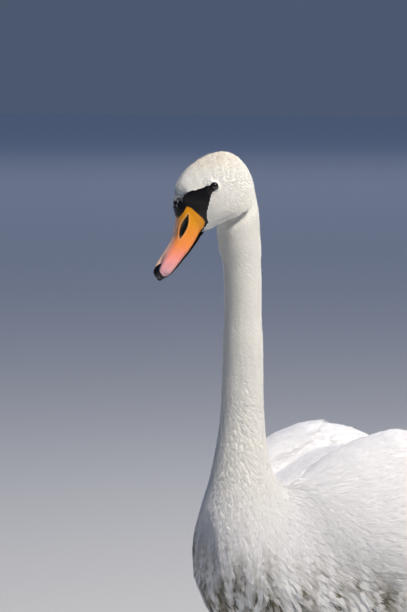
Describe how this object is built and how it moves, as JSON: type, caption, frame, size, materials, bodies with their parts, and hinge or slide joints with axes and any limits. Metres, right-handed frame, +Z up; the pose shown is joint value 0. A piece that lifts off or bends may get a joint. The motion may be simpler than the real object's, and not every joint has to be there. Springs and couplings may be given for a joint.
{
  "type": "mute swan",
  "caption": "Life-size model of a standing adult female mute swan, neck upright, bill pointing down, wings folded, webbed feet flat on the floor.",
  "frame": {"origin": "on the floor under the middle of the whole bird's box", "axes": "+Z up, -Y the way the breast faces, +X to the bird's left"},
  "size_m": [0.352, 0.8409, 0.8712],
  "materials": {
    "feathers": "soft white feathers",
    "bill_horn": "orange horn, satin",
    "bill_edge": "black horn, satin",
    "bare_skin": "black bare skin, slightly glossy",
    "eye": "very dark brown, glossy",
    "leg_skin": "dark grey scaly skin",
    "claw_horn": "black horn"
  },
  "bodies": {
    "root": {"head": "feathers", "knob": "bare_skin", "bill_upper": "bill_horn", "bill_lower": "bill_edge", "eye_left": "eye", "eye_right": "eye", "neck_upper": "feathers", "neck_middle": "feathers", "neck_lower": "feathers", "breast": "feathers", "trunk": "feathers", "tail": "feathers", "wing_left": "feathers", "wing_right": "feathers", "thigh_left": "feathers", "thigh_right": "feathers", "shank_left": "leg_skin", "shank_right": "leg_skin", "foot_left": "leg_skin", "foot_right": "leg_skin", "claw_left_1": "claw_horn", "claw_left_2": "claw_horn", "claw_left_3": "claw_horn", "claw_left_4": "claw_horn", "claw_right_1": "claw_horn", "claw_right_2": "claw_horn", "claw_right_3": "claw_horn", "claw_right_4": "claw_horn"}
  },
  "joints": []
}
